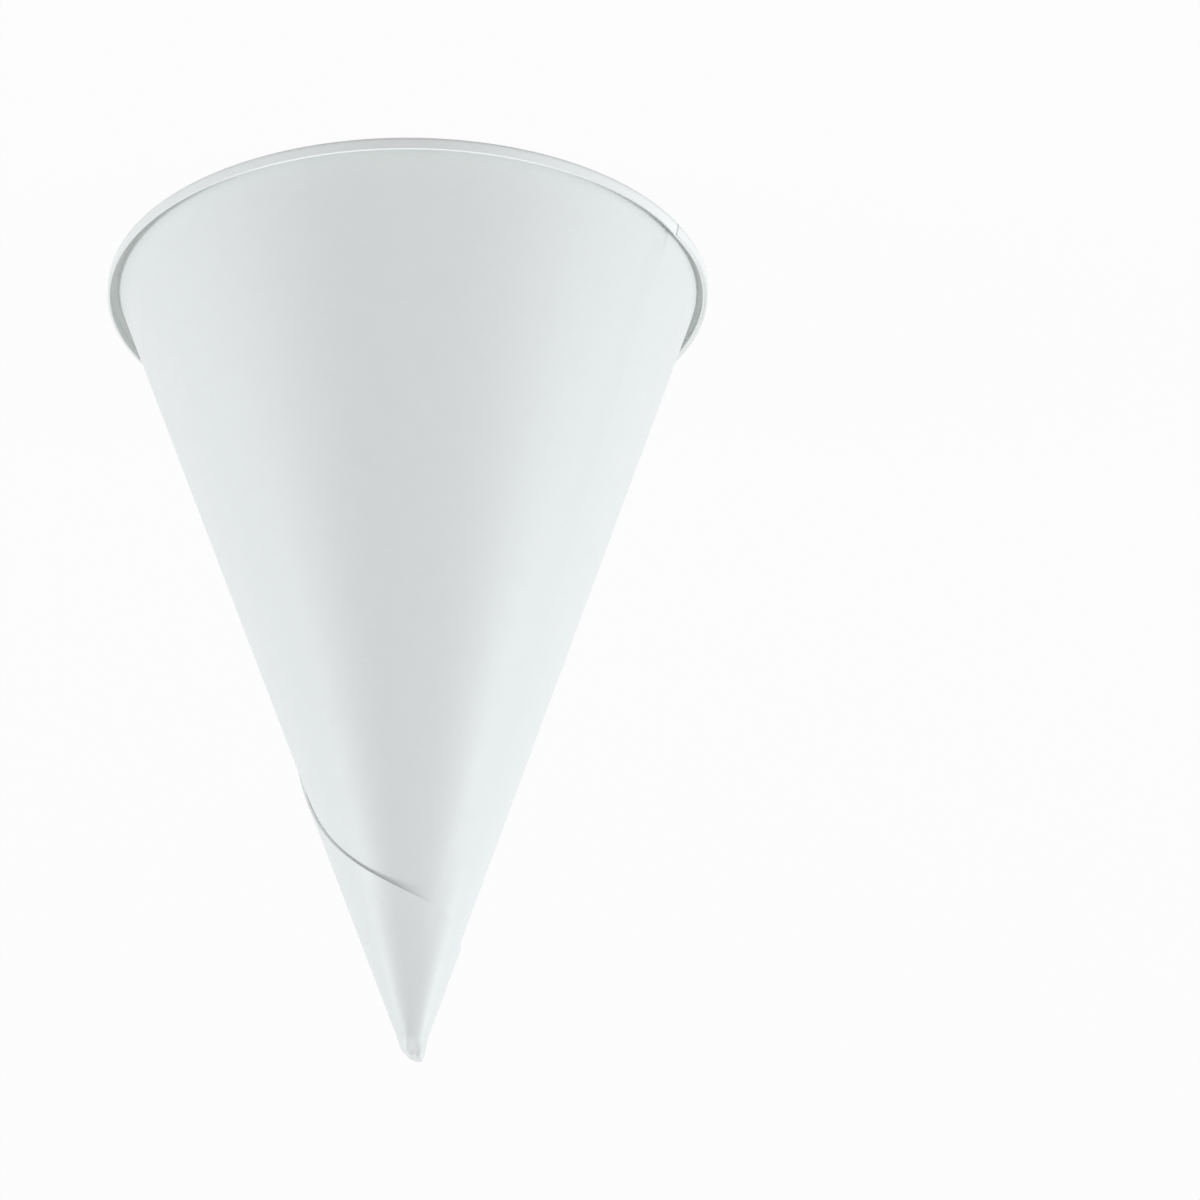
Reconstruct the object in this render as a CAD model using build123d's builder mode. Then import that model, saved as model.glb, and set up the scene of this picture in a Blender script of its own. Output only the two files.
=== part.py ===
"""Cone paper cup: one sheet wound into a cone, its brim rolled outward, its tip closed blunt.

Millimetres, +Z up. The cup stands mouth down on its brim, tip up, centred on Z.
Angles run counter-clockwise from +X; the sheet winds clockwise seen from the tip.
"""
import os
from math import acos, asin, cos, degrees, radians, sin, tan

from build123d import *

# Sheet and cone

ply = 0.28  # thickness of the sheet
mouth_radius = 33.4  # inner face of the cone, carried down to the plane of the brim's crest
slant_ratio = 3.0  # slant height over mouth radius, so one turn takes 120 degrees of sheet

# Blunt tip

tip_cut = 0.6  # how far below the apex of the bore the end lies, on the axis
tip_slant = 16.0  # lean of the end, falling towards +X
tip_closure = 2.0  # depth to which the folded end fills the bore of the cone

# Rolled brim

brim_reach = 1.42  # from the mouth radius to the outside, where two plies are rolled
brim_height = 1.6
brim_bend = 0.45  # bend radius on the outer face of a single ply; the inner face is creased
single_inset = 0.10  # the single-ply brim runs this much inside the double one
double_lean = 9.5  # angle by which the two-ply edge is rolled further over, towards the wall

# Winding

start_angle = 203.0  # inner cut edge of the sheet, a straight line up the inside
climb_angle = 5.0  # turn over which the sheet climbs over its own inner edge
cut_distance = 15.7  # closest the outer cut edge comes to the apex, on the flat sheet
cut_angle = 180.0  # where on the cone it comes closest
tail_angle = 30.0  # where the outer end of the sheet stops
overrun = 4.0  # turn by which a cutting strip passes the sheet it cuts

# Derived sizes

half_angle = asin(1 / slant_ratio)
apex_height = mouth_radius / tan(half_angle)
slant = mouth_radius / sin(half_angle)
brim_radius = mouth_radius + brim_reach
bend_gap = ply / 10  # flat that stays between the two bends of the brim
tip_height = apex_height - tip_cut
tip_end = tip_height + 1.5 * ply  # where the plies end, above the slanted cut
brim_run = slant - 5 * ply
climb_end = start_angle + climb_angle
brim_lap_angle = cut_angle + degrees(acos(cut_distance / slant)) / sin(half_angle)


def wall_point(run, lift):
    """Point of the section, `run` down the slant from the apex and `lift` out from the inner face."""
    radius = run * sin(half_angle) + lift * cos(half_angle)
    height = apex_height - run * cos(half_angle) + lift * sin(half_angle)
    return radius, height


def tip_point(lift):
    """Point of the section where a face `lift` off the bore ends at the tip."""
    return (apex_height - tip_end) * tan(half_angle) + lift / cos(half_angle), tip_end


def foot_point(lift):
    """Point of the section where a face `lift` off the bore meets the crest of the brim."""
    return (apex_height - lift) * tan(half_angle) + lift / cos(half_angle), lift


def widest_bend(lift, outside):
    """Largest bend radius with which both bends fit between the wall and the radius `outside`."""
    foot_radius, _ = foot_point(lift)
    return (outside - foot_radius - bend_gap) / (1 + tan(radians(45) - half_angle / 2))


def cut_run(angle):
    """Distance of the outer cut edge from the apex: a straight line on the flat sheet."""
    return cut_distance / cos(radians(angle - cut_angle) * sin(half_angle))


def cut_point(angle, lift):
    """Point of the outer cut edge once the sheet is wound on the cone."""
    radius, height = wall_point(cut_run(angle), lift)
    return Vector(radius * cos(radians(angle)), radius * sin(radians(angle)), height)


def cut_strip(first, last):
    """Face standing square on the cone all along the outer cut edge."""
    stations = 48
    angles = [first + (last - first) * i / stations for i in range(stations + 1)]
    low = Edge.make_spline([cut_point(angle, -ply) for angle in angles])
    high = Edge.make_spline([cut_point(angle, 5 * ply) for angle in angles])
    return Face.make_surface_from_curves(low, high)


def section_plane(angle):
    """Half plane through the axis: sketch X points out from the axis, sketch Y is up."""
    return Plane.XZ.rotated((0, 0, angle))


def sheet_section(lift, width, outside, lean, bend):
    """Section of a `width` of sheet from tip to rolled edge, its inner face `lift` off the bore.

    The skirt of the brim leans in by `lean` degrees and reaches out to the radius `outside`.
    A brim too narrow for the two bends is bent tighter.
    """
    bend = min(bend, widest_bend(lift, outside))
    top = lift + width
    spread = tan(radians(45 + lean / 2))
    corner_radius = outside + bend * (spread - 1)
    edge_radius = corner_radius - (brim_height - lift) * tan(radians(lean))
    with BuildLine() as outline:
        outer = FilletPolyline(
            tip_point(lift),
            foot_point(lift),
            (corner_radius, lift),
            (edge_radius, brim_height),
            radius=bend,
        )
        Polyline(
            outer @ 1,
            (edge_radius - width / cos(radians(lean)), brim_height),
            (corner_radius - width * spread, top),
            foot_point(top),
            tip_point(top),
            outer @ 0,
        )
    make_face(outline.edges())


def turn_section(low, high, run):
    """Section of a turn without brim, from `low` to `high` off the bore and `run` down the slant."""
    with BuildLine() as outline:
        Polyline(tip_point(low), wall_point(run, low), wall_point(run, high), tip_point(high), close=True)
    make_face(outline.edges())


# Single-ply wall and brim

with BuildPart() as single_wall:
    with BuildSketch(section_plane(climb_end)):
        sheet_section(0, ply, brim_radius - single_inset, 0, brim_bend)
    revolve(axis=Axis.Z, revolution_arc=brim_lap_angle - climb_end)

# Two-ply wall and brim, where the sheet overlaps itself

with BuildPart() as double_wall:
    with BuildSketch(section_plane(brim_lap_angle)):
        sheet_section(0, 2 * ply, brim_radius, double_lean, brim_bend + ply)
    revolve(axis=Axis.Z, revolution_arc=start_angle + 360 - brim_lap_angle)

# Climb, where the sheet lifts by one ply to pass over its own inner edge

with BuildPart() as climb:
    with BuildSketch(section_plane(climb_end)):
        sheet_section(0, ply, brim_radius - single_inset, 0, brim_bend)
    with BuildSketch(section_plane(start_angle)):
        sheet_section(ply, ply, brim_radius - ply, double_lean, brim_bend)
    loft()

# Second turn, on the tip side of the outer cut edge, and its own climb, glued into the turn below

with BuildPart() as second_turn:
    with BuildSketch(section_plane(climb_end)):
        turn_section(ply, 2 * ply, brim_run)
    revolve(axis=Axis.Z, revolution_arc=brim_lap_angle - climb_end)
    split(bisect_by=cut_strip(climb_end - overrun, brim_lap_angle + overrun / 2), keep=Keep.BOTTOM)

with BuildPart() as second_climb:
    with BuildSketch(section_plane(climb_end)):
        turn_section(ply / 2, 2 * ply, cut_run(climb_end))
    with BuildSketch(section_plane(start_angle)):
        turn_section(1.5 * ply, 3 * ply, cut_run(start_angle))
    loft()

# Third turn, around the tip up to the outer end of the sheet

with BuildPart() as third_turn:
    with BuildSketch(section_plane(tail_angle)):
        turn_section(1.5 * ply, 3 * ply, cut_run(tail_angle - 2 * overrun))
    revolve(axis=Axis.Z, revolution_arc=start_angle - tail_angle)
    split(bisect_by=cut_strip(tail_angle - overrun, start_angle + overrun), keep=Keep.BOTTOM)

# Whole cup: the turns are one sheet, closed by the folded end and pressed blunt

with BuildPart() as cone_cup:
    for turn in (single_wall, double_wall, third_turn, climb, second_turn, second_climb):
        add(turn.part)
    with Locations((0, 0, tip_height - tip_closure)):
        Cone(
            bottom_radius=(apex_height - tip_height + tip_closure) * tan(half_angle) + ply / 2,
            top_radius=ply,
            height=tip_closure + 2 * ply,
            align=(Align.CENTER, Align.CENTER, Align.MIN),
        )
    split(bisect_by=Plane(origin=(0, 0, tip_height)).rotated((0, tip_slant, 0)), keep=Keep.BOTTOM)

cone_cup.part.label = "cone_cup"

os.makedirs("parts", exist_ok=True)
export_step(cone_cup.part, "parts/cone_cup.step")
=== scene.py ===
"""Cone paper cup, dressed: one sheet of white cup paper wound into a cone with a rolled brim.

The cup stands mouth down, tip up. Sizes are written in millimetres and put into the mesh in metres.
The sheet is followed by its winding angle: 0 at the inner cut edge, growing towards the outer one.
"""

import logging
from dataclasses import dataclass, field
from enum import Enum
from typing import Any, Mapping, Union

import bpy
import numpy as np
from mathutils import Matrix, Vector


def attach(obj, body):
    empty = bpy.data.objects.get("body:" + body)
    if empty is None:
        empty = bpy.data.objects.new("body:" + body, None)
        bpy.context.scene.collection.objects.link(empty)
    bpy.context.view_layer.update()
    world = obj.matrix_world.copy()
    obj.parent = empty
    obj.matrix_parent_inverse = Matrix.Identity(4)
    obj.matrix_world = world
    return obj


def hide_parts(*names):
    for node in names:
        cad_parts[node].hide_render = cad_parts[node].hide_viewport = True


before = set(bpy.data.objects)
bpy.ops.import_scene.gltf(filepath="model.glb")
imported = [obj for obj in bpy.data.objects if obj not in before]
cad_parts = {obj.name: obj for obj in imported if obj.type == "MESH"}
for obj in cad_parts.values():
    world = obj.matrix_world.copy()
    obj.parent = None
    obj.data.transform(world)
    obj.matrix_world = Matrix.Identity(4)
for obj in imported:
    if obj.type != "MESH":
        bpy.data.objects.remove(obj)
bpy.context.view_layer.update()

MM = 0.001
TURN = 360.0
WHITE = (1.0, 1.0, 1.0, 1.0)
LOG = logging.getLogger("cone_cup")

Array = np.ndarray
Operand = Union["Flow", float]
Colour = tuple[float, float, float]
Point = tuple[float, float, float]


class Side(Enum):
    """Side of the cup, as the camera sees it, that a lamp stands on."""

    LEFT = 1.0
    RIGHT = -1.0


class Skin(Enum):
    """Part of the sheet's skin that a face belongs to."""

    OUTSIDE = 0
    INSIDE = 1
    CUT = 2


# Shader maths


class Bench:
    """Node tree of one material or world, with one way to add a node to it."""

    def __init__(self, tree: bpy.types.NodeTree) -> None:
        """Empties the tree.

        Args:
            tree: node tree to work on.
        """
        self.tree = tree
        tree.nodes.clear()

    def node(
        self,
        kind: str,
        settings: Mapping[str, Any] | None = None,
        inputs: Mapping[Any, Any] | None = None,
    ) -> bpy.types.Node:
        """Adds a node, sets it up and fills its sockets.

        Args:
            kind: the node's type.
            settings: the node's own properties, set first; a ramp's stops are given under "stops".
            inputs: value or link of each socket, by its name or number.

        Returns:
            The new node.
        """
        made = self.tree.nodes.new(kind)
        for name, value in (settings or {}).items():
            if name == "stops":
                self._stops(made.color_ramp, value)
            else:
                setattr(made, name, value)
        for key, value in (inputs or {}).items():
            socket = made.inputs[key]
            if isinstance(value, Flow):
                self.tree.links.new(value.socket, socket)
            else:
                socket.default_value = value
        return made

    @staticmethod
    def _stops(ramp: bpy.types.ColorRamp, stops: list[tuple[float, Colour]]) -> None:
        """Gives a ramp its stops.

        Args:
            ramp: the ramp to fill.
            stops: place and colour of each stop, in order.
        """
        while len(ramp.elements) < len(stops):
            ramp.elements.new(1.0)
        for element, (place, colour) in zip(ramp.elements, stops):
            element.position = place
            element.color = (*colour, 1.0)

    def flow(
        self,
        kind: str,
        output: Any = 0,
        settings: Mapping[str, Any] | None = None,
        inputs: Mapping[Any, Any] | None = None,
    ) -> "Flow":
        """Adds a node and gives one of its outputs.

        Args:
            kind: the node's type.
            output: name or number of the output.
            settings: as in `node`.
            inputs: as in `node`.

        Returns:
            The output, ready for arithmetic.
        """
        return Flow(self, self.node(kind, settings, inputs).outputs[output])

    def mix(self, share: Operand, first: Any, second: Any) -> "Flow":
        """Mixes two colours, which a Mix node takes in its sockets 6 and 7 and gives in its output 2.

        Args:
            share: how much of the second colour there is.
            first: a colour or a link.
            second: a colour or a link.

        Returns:
            The mixed colour.
        """
        inputs = {0: share, 6: first, 7: second}
        return self.flow("ShaderNodeMix", 2, {"data_type": "RGBA"}, inputs)

    def mark(self, name: str) -> "Flow":
        """Value of one of the mesh's own attributes."""
        return self.flow("ShaderNodeAttribute", "Fac", {"attribute_name": name})

    def straight(self) -> "Flow":
        """Tells rays that look at a surface from those that only carry light.

        Returns:
            One for rays from the camera, also by way of a mirror or glass; zero for scattered light.
        """
        path = self.node("ShaderNodeLightPath")
        names = ("Is Camera Ray", "Is Glossy Ray", "Is Transmission Ray")
        seen, glossy, through = (Flow(self, path.outputs[name]) for name in names)
        return seen.most(glossy).most(through)


@dataclass
class Flow:
    """One socket's value; arithmetic on it adds Math nodes."""

    bench: Bench
    socket: bpy.types.NodeSocket

    def _math(self, operation: str, first: Operand, second: Operand) -> "Flow":
        """Adds one Math node.

        Args:
            operation: what the node does.
            first: its first value.
            second: its second value.

        Returns:
            The result.
        """
        inputs = {0: first, 1: second}
        return self.bench.flow("ShaderNodeMath", 0, {"operation": operation}, inputs)

    def __add__(self, other: Operand) -> "Flow":
        """This value plus another."""
        return self._math("ADD", self, other)

    __radd__ = __add__

    def __sub__(self, other: Operand) -> "Flow":
        """This value less another."""
        return self._math("SUBTRACT", self, other)

    def __rsub__(self, other: Operand) -> "Flow":
        """Another value less this one."""
        return self._math("SUBTRACT", other, self)

    def __mul__(self, other: Operand) -> "Flow":
        """This value times another."""
        return self._math("MULTIPLY", self, other)

    __rmul__ = __mul__

    def most(self, other: Operand) -> "Flow":
        """The greater of this value and another."""
        return self._math("MAXIMUM", self, other)


# Finishes


@dataclass(frozen=True)
class PaperFinish:
    """White cup paper: matt, slightly cloudy, with fine fibres laid mostly one way.

    The inside of the sheet is painted whiter as painted light, standing in for the light that brightens
    the brim's skirt where the inside shows. Its cut edge has a colour of its own, lifted whiter as a
    painted highlight. Lengths are in millimetres on the flat sheet.
    """

    name: str = "cup_paper"
    face: Colour = (0.806, 0.832, 0.822)
    cloud: Colour = (0.784, 0.808, 0.797)
    fibre: Colour = (0.826, 0.846, 0.838)
    fibre_share: float = 0.6
    # painted light: the inside face, which shows as the brim's skirt, is painted whiter so the skirt
    # looks lit
    painted_lit_inside: Colour = (0.950, 0.970, 0.962)
    painted_lit_share: float = 0.8
    # the cut edge's own colour, lifted whiter than the face as a painted highlight along the edge
    cut: Colour = (0.915, 0.930, 0.920)
    roughness: float = 0.45
    cloud_roughness: float = 0.16
    cut_roughness: float = 0.2
    specular: float = 0.50
    cloud_size: float = 2.6
    cloud_stretch: float = 1.5
    cloud_detail: float = 3.0
    fibre_length: float = 1.5
    fibre_width: float = 0.11
    fibre_ramp: tuple[float, float] = (0.52, 0.78)
    tooth: float = 0.16
    tooth_height: float = 0.010
    tooth_share: float = 0.4
    fine_detail: float = 2.0
    grain_falloff: float = 0.55
    relief: float = 0.55

    def _grain(self, bench: Bench, length: float, width: float, detail: float) -> Flow:
        """Noise on the flat sheet, drawn out along the way in which the fibres lie.

        Args:
            bench: the material's nodes.
            length: size of the grain along the fibres.
            width: size of the grain across them.
            detail: octaves of the noise.

        Returns:
            The noise, 0 to 1.
        """
        sheet = bench.flow("ShaderNodeUVMap", 0, {"uv_map": "sheet"})
        scale = (1.0 / (length * MM), 1.0 / (width * MM), 1.0)
        spread = bench.flow("ShaderNodeMapping", 0, None, {"Vector": sheet, "Scale": scale})
        inputs = {"Vector": spread, "Scale": 1.0, "Detail": detail, "Roughness": self.grain_falloff}
        return bench.flow("ShaderNodeTexNoise", 0, {"noise_dimensions": "2D"}, inputs)

    def material(self) -> bpy.types.Material:
        """Builds the paper.

        Returns:
            The material.
        """
        made = bpy.data.materials.new(self.name)
        made.use_nodes = True
        bench = Bench(made.node_tree)
        cloud_length = self.cloud_size * self.cloud_stretch
        clouds = self._grain(bench, cloud_length, self.cloud_size, self.cloud_detail)
        fibres = self._grain(bench, self.fibre_length, self.fibre_width, self.fine_detail)
        tooth = self._grain(bench, self.tooth, self.tooth, self.fine_detail)
        edge = bench.mark("cut_edge")
        inside = bench.mark("inner_face")

        bare, full = self.fibre_ramp
        stops = [(bare, (0.0, 0.0, 0.0)), (full, (1.0, 1.0, 1.0))]
        threads = bench.flow("ShaderNodeValToRGB", 0, {"stops": stops}, {0: fibres})
        cloudy = bench.mix(clouds, (*self.face, 1.0), (*self.cloud, 1.0))
        flecked = bench.mix(self.fibre_share * threads, cloudy, (*self.fibre, 1.0))
        # painted light: the inside faces are whitened, so the brim's skirt looks as if more light fell
        # on it
        with_painted_light = bench.mix(self.painted_lit_share * inside, flecked, (*self.painted_lit_inside, 1.0))
        # the cut edges take their own colour, lifted whiter as a painted highlight
        colour = bench.mix(edge, with_painted_light, (*self.cut, 1.0))

        height = fibres * (1.0 - self.tooth_share) + tooth * self.tooth_share
        relief = bench.flow(
            "ShaderNodeBump",
            0,
            None,
            {"Strength": self.relief, "Distance": self.tooth_height * MM, "Height": height},
        )
        matt = self.roughness + (clouds - 0.5) * self.cloud_roughness + edge * self.cut_roughness
        shader = bench.flow(
            "ShaderNodeBsdfPrincipled",
            0,
            None,
            {
                "Base Color": colour,
                "Roughness": matt,
                "Specular IOR Level": self.specular,
                "Normal": relief,
            },
        )
        bench.node("ShaderNodeOutputMaterial", None, {"Surface": shader})
        return made


@dataclass(frozen=True)
class FloorFinish:
    """Plain floor: seen as white by the camera, with a faint shadow left in it."""

    name: str = "studio_floor"
    colour: Colour = (0.50, 0.50, 0.50)
    whiteness: float = 0.96

    def material(self) -> bpy.types.Material:
        """Builds the floor's finish.

        Returns:
            The material.
        """
        made = bpy.data.materials.new(self.name)
        made.use_nodes = True
        bench = Bench(made.node_tree)
        matt = bench.flow("ShaderNodeBsdfDiffuse", 0, None, {"Color": (*self.colour, 1.0)})
        white = bench.flow("ShaderNodeEmission", 0, None, {"Color": WHITE, "Strength": 1.0})
        share = bench.straight() * self.whiteness
        mixed = bench.flow("ShaderNodeMixShader", 0, None, {0: share, 1: matt, 2: white})
        bench.node("ShaderNodeOutputMaterial", None, {"Surface": mixed})
        return made


# Shapes in numbers


def smooth_step(value: Array) -> Array:
    """Rises from 0 to 1 with level ends: three squares less two cubes of the value held to 0..1.

    Args:
        value: where on the rise each point is.

    Returns:
        The height of the rise.
    """
    held = np.clip(value, 0.0, 1.0)
    return held * held * (3.0 - 2.0 * held)


def bell(value: Array) -> Array:
    """Falls from 1 towards both sides: the exponential of minus the value's square."""
    return np.exp(-(value**2))


def unit(vectors: Array) -> Array:
    """Vectors divided by their length, along the last axis."""
    return vectors / np.maximum(np.linalg.norm(vectors, axis=-1, keepdims=True), 1e-12)


def rounded(before: Array, corner: Array, after: Array, radius: Array, steps: int) -> Array:
    """Arc that rounds the corner of each section.

    The centre lies on the corner's bisector, at the radius over the sine of half the corner's angle;
    between its two spokes the arc is their spherical blend.

    Args:
        before: point before each corner, one row a section.
        corner: the corners.
        after: point after each corner.
        radius: radius of each arc.
        steps: points on an arc.

    Returns:
        Array of steps, sections and two coordinates.
    """
    back = unit(before - corner)
    ahead = unit(after - corner)
    half = np.arccos(np.clip((back * ahead).sum(-1), -1.0, 1.0)) / 2.0
    run = radius / np.tan(half)
    centre = corner + unit(back + ahead) * (radius / np.sin(half))[:, None]
    first = (corner + back * run[:, None] - centre) / radius[:, None]
    last = (corner + ahead * run[:, None] - centre) / radius[:, None]
    sweep = np.pi - 2.0 * half
    share = np.linspace(0.0, 1.0, steps)[:, None]
    weight_first = (np.sin((1.0 - share) * sweep) / np.sin(sweep))[..., None]
    weight_last = (np.sin(share * sweep) / np.sin(sweep))[..., None]
    return centre + (weight_first * first + weight_last * last) * radius[:, None]


# The cup


@dataclass(frozen=True)
class TipPress:
    """How the folded tip was pressed. Lengths are in millimetres, angles in degrees around the axis."""

    height: float = 92.3  # where the pressing starts
    depth: float = 1.7  # rise over which it becomes full
    spread: float = 0.08  # share by which the tip widens sideways
    shift: float = 0.14  # how far it moves towards -X
    flatten: float = 0.12  # share by which it thins from front to back
    dent: float = 0.40  # further share by which the front is dented
    dent_angle: float = 272.0
    dent_width: float = 30.0
    side_push: float = 0.30  # push on the +X side, which starts lower
    side_height: float = 89.6
    side_depth: float = 2.2
    side_reach: float = 1.2  # distance from the middle at which that push is full
    drop: float = 0.12  # how far the end falls on the +X side
    drop_start: float = 0.4
    drop_reach: float = 0.7

    def moved(self, points: Array) -> Array:
        """Presses the tip: flattened front to back, spread sideways, dented in front, low at one side.

        Each move is its measure times smooth rises over the height and over the distance sideways.

        Args:
            points: points of the sheet.

        Returns:
            The points moved.
        """
        x, y, z = points[..., 0], points[..., 1], points[..., 2]
        share = smooth_step((z - self.height) / self.depth)
        angle = np.degrees(np.arctan2(y, x)) % TURN
        dent = bell((angle - self.dent_angle) / self.dent_width) * share
        side = smooth_step((z - self.side_height) / self.side_depth) * smooth_step(x / self.side_reach)
        low = smooth_step((x - self.drop_start) / self.drop_reach)
        across = x * (1.0 + self.spread * share) - self.shift * share - self.side_push * side
        along = y * (1.0 - self.flatten * share - self.dent * dent)
        level = z - self.drop * share * low
        return np.stack([across, along, level], axis=-1)


@dataclass
class WoundCup:
    """One sheet wound two and a half times around the tip, its rim rolled outward into a brim.

    Lengths are in millimetres, angles in degrees of winding.
    """

    finish: PaperFinish = field(default_factory=PaperFinish)
    press: TipPress = field(default_factory=TipPress)
    name: str = "wound_cup"
    node: str = "cone_cup"
    slot: str = "paper"

    # Sheet and cone
    ply: float = 0.28
    hairline: float = 0.018  # gap between two turns
    mouth_radius: float = 33.4
    slant_ratio: float = 3.0
    start_angle: float = 205.0  # inner cut edge, around the axis from +X

    # Climbs over the inner cut edge
    climb_width: float = 3.6
    climb_most: float = 340.0
    brim_climb: float = 0.4  # width of a climb at the brim
    brim_zone: float = 3.2  # last of the wall, where a climb narrows
    least_run: float = 0.1

    # Outer cut edge
    cut_distance: float = 15.7
    cut_winding: float = 745.0
    cut_reach: float = 1.5  # radians of flat sheet past which the edge's line isn't followed
    cut_dip: float = 1.7
    dip_start: float = 690.0
    dip_length: float = 48.0
    tail_winding: float = 895.0
    spring: float = 0.19
    spring_depth: float = 8.0
    swell_least: float = 0.12
    swell_start: float = 572.0
    swell_length: float = 95.0
    fade_start: float = 650.0
    fade_length: float = 38.0

    # Tip
    tip_height: float = 94.19
    tip_slant: float = 31.0
    tip_bend: float = 0.36
    tip_bend_swing: float = 0.45  # share by which the bend is wider on the +X side
    tip_squeeze: float = 0.15  # share of the turns' lifts that is left at the tip
    tip_blend: float = 4.0  # length of wall in which the lifts come back
    pinhole: float = 0.012

    # Brim
    brim_radius: float = 34.98
    brim_height: float = 1.6
    brim_bend: float = 0.34
    single_bend: float = 0.50
    single_inset: float = 0.24
    double_lean: float = 9.5
    settle: float = 16.0  # winding in which one shape of the brim becomes the other
    pinch: float = 15.0
    pinch_single: float = 34.0
    pinch_double: float = 10.0
    grip: float = 12.0
    grip_width: float = 6.0

    # Grid
    column_step: float = 1.6
    mark_clearance: float = 0.4
    climb_margin: float = 6.0
    climb_columns: int = 21
    cap_rows: int = 7
    tip_rows: int = 7
    wall_rows: int = 46
    row_crowding: float = 1.3
    foot_rows: int = 8
    bend_rows: int = 10
    skirt_rows: int = 5
    inside_offset: float = 260.0  # place of the inside beside the outside on the flat-sheet map

    @property
    def half_angle(self) -> float:
        """Half the cone's full angle, whose sine is one over the slant ratio."""
        return float(np.arcsin(1.0 / self.slant_ratio))

    @property
    def slant(self) -> float:
        """Distance of the crest of the brim from the apex, down the bore."""
        return self.mouth_radius * self.slant_ratio

    @property
    def apex_height(self) -> float:
        """Height of the apex of the bore."""
        return self.mouth_radius / float(np.tan(self.half_angle))

    @property
    def lap_winding(self) -> float:
        """Winding at which the outer cut edge comes to the crest of the brim."""
        flat = float(np.degrees(np.arccos(self.cut_distance / self.slant)))
        return self.cut_winding - self.slant_ratio * flat

    @staticmethod
    def past_start(winding: Array) -> Array:
        """Winding from the nearest pass over the inner cut edge, below zero before it."""
        return (winding + TURN / 2.0) % TURN - TURN / 2.0

    def windings(self) -> Array:
        """Winding angles of the columns, closer where the sheet climbs and with its ends among them.

        Returns:
            The angles, growing.
        """
        climb = np.linspace(-self.climb_margin, 0.0, self.climb_columns)
        ends = [0.0, self.lap_winding, self.tail_winding]
        marks = np.concatenate([ends, climb + TURN, climb + 2.0 * TURN])
        regular = np.arange(0.0, self.tail_winding, self.column_step)
        far = np.abs(regular[:, None] - marks).min(axis=1) > self.mark_clearance * self.column_step
        return np.sort(np.concatenate([regular[far], marks]))

    def lift(self, winding: Array, run: Array) -> Array:
        """Height of a turn's inner face off the bore: one ply more after each climb.

        A climb is as wide on the whole wall, so its angle is its width over the radius of the bore; at
        the tip it takes nearly the whole turn and the lift becomes a plain spiral. In the last of the
        wall it narrows, as the rolled brim presses it.

        Args:
            winding: winding angles.
            run: distances from the apex.

        Returns:
            The heights.
        """
        radius = np.maximum(run, self.least_run) * np.sin(self.half_angle)
        near_brim = smooth_step((run - self.slant) / self.brim_zone + 1.0)
        width = self.climb_width + (self.brim_climb - self.climb_width) * near_brim
        climb = np.clip(np.degrees(width / radius), 0.0, self.climb_most)
        climbs = [smooth_step((winding - TURN * number) / climb + 1.0) for number in (1, 2, 3)]
        return self.ply * np.sum(climbs, axis=0)

    def doubling(self, winding: Array) -> Array:
        """How far the brim has the shape of its two-ply part: 1 there, easing to 0 beside it.

        Args:
            winding: winding angles.

        Returns:
            The share, 0 to 1.
        """
        round_once = np.where(winding < TURN, winding, winding - TURN)
        coming = smooth_step(round_once / self.settle)
        leaving = smooth_step((round_once - self.lap_winding + TURN) / self.settle)
        return coming * (1.0 - leaving)

    def pinching(self, winding: Array) -> Array:
        """How far the skirt is drawn in beside the inner cut edge, where the rolled plies grip it.

        It is a bell over the winding from that edge, wider on the side of a single ply.

        Args:
            winding: winding angles.

        Returns:
            The share, 0 to 1.
        """
        past = self.past_start(winding)
        return bell(past / np.where(past < 0.0, self.pinch_single, self.pinch_double))

    def gripping(self, winding: Array) -> Array:
        """How far a single ply is bent further in, close to the inner cut edge that it climbs over.

        It is half a bell over the winding from that edge, on the side of a single ply.

        Args:
            winding: winding angles.

        Returns:
            The share, 0 to 1.
        """
        past = self.past_start(winding)
        return np.where(past < 0.0, bell(past / self.grip_width), 0.0)

    def cut_run(self, winding: Array) -> Array:
        """Distance of the outer cut edge from the apex, nearly a straight line on the flat sheet.

        It is the closest distance over the cosine of the flat angle from the closest point, less a
        small dip where the edge comes round the far side of the tip.

        Args:
            winding: winding angles.

        Returns:
            The distances; far away where the line doesn't cross.
        """
        flat = np.radians(winding - self.cut_winding) / self.slant_ratio
        cosine = np.cos(np.clip(flat, -self.cut_reach, self.cut_reach))
        dip = self.cut_dip * smooth_step((winding - self.dip_start) / self.dip_length)
        return self.cut_distance / cosine - dip

    def free_edge(self, winding: Array, run: Array) -> Array:
        """How far the outer cut edge springs off the turn below.

        Along the edge the spring swells and fades as a smooth hump; from the edge towards the tip it
        falls off with the third power of the distance that is left.

        Args:
            winding: winding angle of each column.
            run: distance of each wall point from the apex.

        Returns:
            Heights off the turn below.
        """
        rise = smooth_step((winding - self.swell_start) / self.swell_length)
        swell = self.swell_least + (1.0 - self.swell_least) * rise
        fade = 1.0 - smooth_step((winding - self.fade_start) / self.fade_length)
        near = np.clip(1.0 - (self.cut_run(winding) - run) / self.spring_depth, 0.0, 1.0)
        held = (winding > self.lap_winding).astype(float)
        return self.spring * swell * fade * held * near**3

    def wall_point(self, run: Array, height: Array) -> Array:
        """Section point at `run` down the slant from the apex and `height` out from the bore.

        Args:
            run: distances from the apex.
            height: distances off the bore.

        Returns:
            Radius and height, along the last axis.
        """
        sine, cosine = np.sin(self.half_angle), np.cos(self.half_angle)
        radius = run * sine + height * cosine
        level = self.apex_height - run * cosine + height * sine
        return np.stack(np.broadcast_arrays(radius, level), axis=-1)

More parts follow.
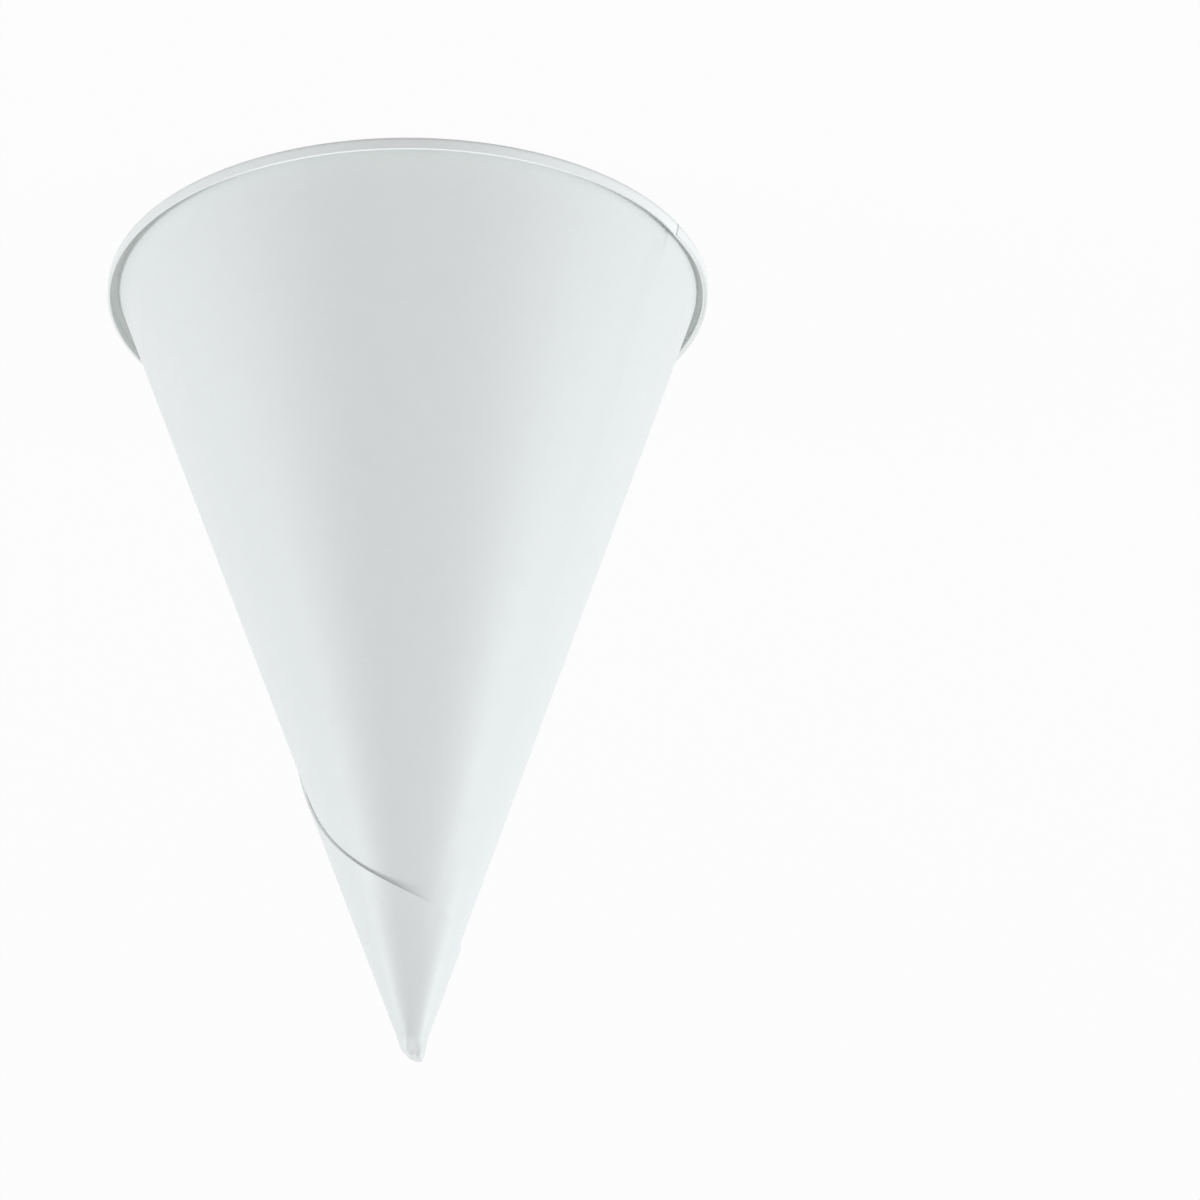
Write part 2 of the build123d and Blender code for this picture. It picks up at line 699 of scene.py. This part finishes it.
    def sections(self, winding: Array) -> tuple[Array, int, Array]:
        """Middle line of the sheet in every column, from the centre of the tip to the rolled edge.

        A section is a polyline of tip centre, tip edge, foot of the wall, corner of the brim and end
        of the skirt, its three corners rounded. Past the lap a section ends on the cut edge.

        Args:
            winding: winding angle of each column.

        Returns:
            Points as rows, columns and two coordinates; number of rows up to the wall's end; distance
            of each point from the apex, measured along the sheet.
        """
        turn = np.radians(self.start_angle - winding)
        double = self.doubling(winding)
        sine, cosine = np.sin(self.half_angle), np.cos(self.half_angle)
        half_ply = self.ply / 2.0

        # Tip: where the middle of the wall meets the middle of the folded end
        slant = np.radians(self.tip_slant)
        fall = np.tan(slant) * np.cos(turn)
        tip_lift = self.lift(winding, np.zeros_like(winding))
        tip_lift = tip_lift[-1] - self.tip_squeeze * (tip_lift[-1] - tip_lift)
        tip_middle = tip_lift + half_ply
        sunk = tip_lift[-1] + half_ply - tip_lift
        end_level = self.tip_height - sunk / np.cos(slant)
        tip_run = self.apex_height + tip_middle * sine - end_level + fall * tip_middle * cosine
        tip_run = tip_run / (cosine - fall * sine)
        tip_edge = self.wall_point(tip_run, tip_middle)
        centre_radius = np.full_like(winding, self.pinhole)
        centre = np.stack([centre_radius, end_level - fall * centre_radius], axis=-1)

        # Brim: foot of the wall, corner and end of the skirt
        lift = self.lift(winding, np.full_like(winding, self.slant))
        middle = lift + half_ply
        foot_radius = (self.apex_height - middle) * np.tan(self.half_angle) + middle / cosine
        foot = np.stack([foot_radius, middle], axis=-1)
        inner_share = np.clip(1.0 - lift / self.ply, 0.0, 1.0)
        drawn_in = self.pinch * self.pinching(winding) + self.grip * self.gripping(winding) * inner_share
        lean = np.radians(self.double_lean * double + drawn_in)
        bend = self.brim_bend + inner_share * double * self.ply
        bend = bend + (self.single_bend - self.brim_bend) * (1.0 - double)
        outside = self.brim_radius - self.single_inset * (1.0 - double) - middle
        corner_radius = outside + bend * (np.tan(np.pi / 4.0 + lean / 2.0) - 1.0)
        corner = np.stack([corner_radius, middle], axis=-1)
        end_radius = corner_radius - (self.brim_height - middle) * np.tan(lean)
        end = np.stack([end_radius, np.full_like(winding, self.brim_height)], axis=-1)

        # Rounded corners
        wall_top = tip_edge + (sine, -cosine)
        wall_foot = foot - (sine, -cosine)
        tip_bend = self.tip_bend * (1.0 + self.tip_bend_swing * np.cos(turn))
        tip_arc = rounded(centre, tip_edge, wall_top, tip_bend, self.tip_rows)
        foot_arc = rounded(wall_foot, foot, corner, bend, self.foot_rows)
        brim_arc = rounded(foot, corner, end, bend, self.bend_rows)

        # Wall, down to the foot or to the cut edge
        tip_leave = tip_run + np.linalg.norm(tip_arc[-1] - tip_edge, axis=-1)
        foot_run = (self.apex_height + middle * sine - foot_arc[0, :, 1]) / cosine
        past_lap = winding > self.lap_winding
        last_run = np.where(past_lap, np.minimum(self.cut_run(winding), foot_run), foot_run)
        share = np.linspace(0.0, 1.0, self.wall_rows)[:, None] ** self.row_crowding
        run = tip_leave + (last_run - tip_leave) * share
        # The tip's own lift passes over into the wall's within the first few millimetres
        blend = smooth_step((run - tip_leave) / self.tip_blend)
        off_bore = tip_lift + (self.lift(winding, run) - tip_lift) * blend + half_ply
        wall = self.wall_point(run, off_bore + self.free_edge(winding, run))

        # Whole section, and the way along it
        cap_share = np.linspace(0.0, 1.0, self.cap_rows)[:-1, None, None]
        skirt_share = np.linspace(0.0, 1.0, self.skirt_rows)[1:, None, None]
        cap = centre + (tip_arc[0] - centre) * cap_share
        skirt = brim_arc[-1] + (end - brim_arc[-1]) * skirt_share
        rows = np.concatenate([cap, tip_arc[:-1], wall, foot_arc[1:], brim_arc, skirt])
        first_wall = len(cap) + len(tip_arc) - 1
        steps = np.linalg.norm(np.diff(rows, axis=0), axis=-1)
        along = np.concatenate([np.zeros((1, len(winding))), np.cumsum(steps, axis=0)])
        along = along - along[first_wall] + tip_leave
        return rows, first_wall + self.wall_rows, along

    def mesh(self) -> bpy.types.Mesh:
        """Builds the closed skin of the sheet.

        The middle surface is a grid of sections over winding angles; both faces are half a ply off it
        along its normal, and a strip closes it along every edge that only one face uses.

        Returns:
            The mesh, in metres.
        """
        winding = self.windings()
        section, wall_end, along = self.sections(winding)
        turn = np.radians(self.start_angle - winding)
        radius, level = section[..., 0], section[..., 1]
        middle = np.stack([radius * np.cos(turn), radius * np.sin(turn), level], axis=-1)
        middle = self.press.moved(middle)
        across = np.gradient(middle, axis=1)
        down = np.gradient(middle, axis=0)
        off = unit(np.cross(across, down)) * ((self.ply - self.hairline) / 2.0)
        rows, columns = middle.shape[:2]

        # Faces of both sides, without those past the lap that would be brim
        number = np.arange(rows * columns).reshape(rows, columns)
        corners = [number[:-1, :-1], number[:-1, 1:], number[1:, 1:], number[1:, :-1]]
        quads = np.stack(corners, axis=-1)
        brimmed = winding[1:] <= self.lap_winding + 1e-6
        kept = (np.arange(rows - 1)[:, None] < wall_end - 1) | brimmed[None, :]
        outer = quads[kept]

        # Strips along the edges that no second face runs back over
        starts = outer.reshape(-1)
        ends = np.roll(outer, -1, axis=1).reshape(-1)
        total = rows * columns
        rim = ~np.isin(starts * total + ends, ends * total + starts)
        first, last = starts[rim], ends[rim]
        strips = np.stack([last, first, first + total, last + total], axis=-1)
        faces = np.concatenate([outer, outer[:, ::-1] + total, strips])
        parts = [Skin.OUTSIDE.value, Skin.INSIDE.value, Skin.CUT.value]
        skin = np.repeat(parts, [len(outer), len(outer), len(strips)])

        # Points, and their places on the flat sheet
        points = np.concatenate([(middle + off).reshape(-1, 3), (middle - off).reshape(-1, 3)])
        flat = np.radians(np.broadcast_to(winding, along.shape)) / self.slant_ratio
        sheet = np.stack([along * np.cos(flat), along * np.sin(flat)], axis=-1).reshape(-1, 2)
        sheet = np.concatenate([sheet, sheet + (self.inside_offset, 0.0)])
        used, inverse = np.unique(faces, return_inverse=True)
        return self._fill(points[used] * MM, inverse.reshape(faces.shape), sheet[used] * MM, skin)

    def _fill(self, points: Array, faces: Array, sheet: Array, skin: Array) -> bpy.types.Mesh:
        """Puts arrays into a mesh, with its flat-sheet map, its faces marked and its creases sharp.

        Args:
            points: vertices.
            faces: four vertices a face.
            sheet: flat-sheet place of each vertex.
            skin: part of the skin that each face belongs to.

        Returns:
            The mesh.
        """
        mesh = bpy.data.meshes.new(self.name)
        mesh.from_pydata(points.tolist(), [], faces.tolist())
        mesh.polygons.foreach_set("use_smooth", np.ones(len(faces), dtype=bool))
        layer = mesh.uv_layers.new(name="sheet")
        layer.data.foreach_set("uv", sheet[faces.reshape(-1)].reshape(-1).astype(np.float32))
        for part, mark_name in ((Skin.INSIDE, "inner_face"), (Skin.CUT, "cut_edge")):
            mark = mesh.attributes.new(mark_name, "FLOAT", "FACE")
            mark.data.foreach_set("value", (skin == part.value).astype(np.float32))
        loop_edge = np.empty(len(mesh.loops), dtype=np.int32)
        mesh.loops.foreach_get("edge_index", loop_edge)
        on_cut = np.repeat(skin == Skin.CUT.value, faces.shape[1])
        cut_faces = np.bincount(loop_edge, weights=on_cut, minlength=len(mesh.edges))
        mesh.edges.foreach_set("use_edge_sharp", cut_faces == 1)
        mesh.validate()
        mesh.update()
        return mesh

    def build(self) -> bpy.types.Object:
        """Makes the cup's object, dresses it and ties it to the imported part.

        Returns:
            The object.
        """
        mesh = self.mesh()
        mesh.materials.append(self.finish.material())
        piece = bpy.data.objects.new(self.name, mesh)
        bpy.context.scene.collection.objects.link(piece)
        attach(piece, "root")
        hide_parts(self.node)
        LOG.info("%s: %d faces", piece.name, len(mesh.polygons))
        return piece


# The studio


@dataclass
class Studio:
    """Floor seen as white, soft lamps at both sides and the camera. Lengths are in millimetres."""

    floor_finish: FloorFinish = field(default_factory=FloorFinish)
    floor_reach: float = 4000.0
    floor_gap: float = 0.02
    ambient: float = 0.66
    lamp_tint: Colour = (0.97, 1.0, 1.035)
    lamp_size: float = 180.0
    lamp_distance: float = 520.0
    lamp_height: float = 270.0
    lamp_aim: float = 45.0
    left_front: float = 110.0
    right_front: float = 60.0
    left_power: float = 1.21
    right_power: float = 1.37
    view_elevation: float = 25.54
    view_distance: float = 494.9
    view_roll: float = 1.45
    view_lens: float = 131.97
    view_sensor: float = 36.0
    view_near: float = 10.0
    view_target: Point = (-21.45, 0.0, 40.29)

    def floor(self) -> bpy.types.Object:
        """Lays the floor just under the brim.

        Returns:
            The floor.
        """
        reach = self.floor_reach * MM
        corners = np.array([(-1, -1), (1, -1), (1, 1), (-1, 1)], dtype=float) * reach
        points = np.column_stack([corners, np.full(4, -self.floor_gap * MM)])
        mesh = bpy.data.meshes.new("studio_floor")
        mesh.from_pydata(points.tolist(), [], [(0, 1, 2, 3)])
        mesh.materials.append(self.floor_finish.material())
        piece = bpy.data.objects.new("studio_floor", mesh)
        bpy.context.scene.collection.objects.link(piece)
        LOG.info("%s laid", piece.name)
        return piece

    def world(self) -> None:
        """Gives the surroundings an even soft light, and white to whatever looks straight at them."""
        made = bpy.data.worlds.new("studio_air")
        bpy.context.scene.world = made
        made.use_nodes = True
        bench = Bench(made.node_tree)
        straight = bench.straight()
        strength = straight + (1.0 - straight) * self.ambient
        air = bench.flow("ShaderNodeBackground", 0, None, {"Color": WHITE, "Strength": strength})
        bench.node("ShaderNodeOutputWorld", None, {"Surface": air})

    def lamp(self, side: Side, front: float, power: float) -> bpy.types.Object:
        """Stands one soft lamp at a side of the cup, turned towards it.

        Args:
            side: which side, as the camera sees the cup.
            front: how far it stands towards the camera.
            power: the lamp's power in watts.

        Returns:
            The lamp.
        """
        light = bpy.data.lights.new(f"lamp_{side.name.lower()}", "AREA")
        light.shape = "DISK"
        light.size = self.lamp_size * MM
        light.energy = power
        light.color = self.lamp_tint
        piece = bpy.data.objects.new(light.name, light)
        place = Vector((side.value * self.lamp_distance, -front, self.lamp_height)) * MM
        piece.location = place
        aim = Vector((0.0, 0.0, self.lamp_aim)) * MM - place
        piece.rotation_euler = aim.to_track_quat("-Z", "Y").to_euler()
        bpy.context.scene.collection.objects.link(piece)
        return piece

    def camera(self) -> bpy.types.Object:
        """Sets the camera in front of the cup and above it, turned over so that the tip points down.

        Returns:
            The camera.
        """
        lens = bpy.data.cameras.new("view_camera")
        lens.sensor_width = self.view_sensor
        lens.lens = self.view_lens
        lens.clip_start = self.view_near * MM
        piece = bpy.data.objects.new("view_camera", lens)
        rise = float(np.radians(self.view_elevation))
        roll = float(np.radians(self.view_roll))
        right = Vector((1.0, 0.0, 0.0))
        top = Vector((0.0, float(np.sin(rise)), float(np.cos(rise))))
        back = Vector((0.0, -float(np.cos(rise)), float(np.sin(rise))))
        own_right = -float(np.cos(roll)) * right + float(np.sin(roll)) * top
        own_top = -float(np.sin(roll)) * right - float(np.cos(roll)) * top
        place = (Vector(self.view_target) + back * self.view_distance) * MM
        turned = Matrix((own_right, own_top, back)).transposed().to_4x4()
        piece.matrix_world = Matrix.Translation(place) @ turned
        bpy.context.scene.collection.objects.link(piece)
        bpy.context.scene.camera = piece
        return piece

    def build(self) -> None:
        """Builds the whole studio."""
        self.floor()
        self.world()
        self.lamp(Side.LEFT, self.left_front, self.left_power)
        self.lamp(Side.RIGHT, self.right_front, self.right_power)
        self.camera()
        bpy.context.scene.view_settings.view_transform = "Standard"
        LOG.info("studio lit")


def main() -> None:
    """Builds the cup, then the studio around it."""
    logging.basicConfig(level=logging.INFO)
    WoundCup().build()
    Studio().build()


if __name__ == "__main__":
    main()
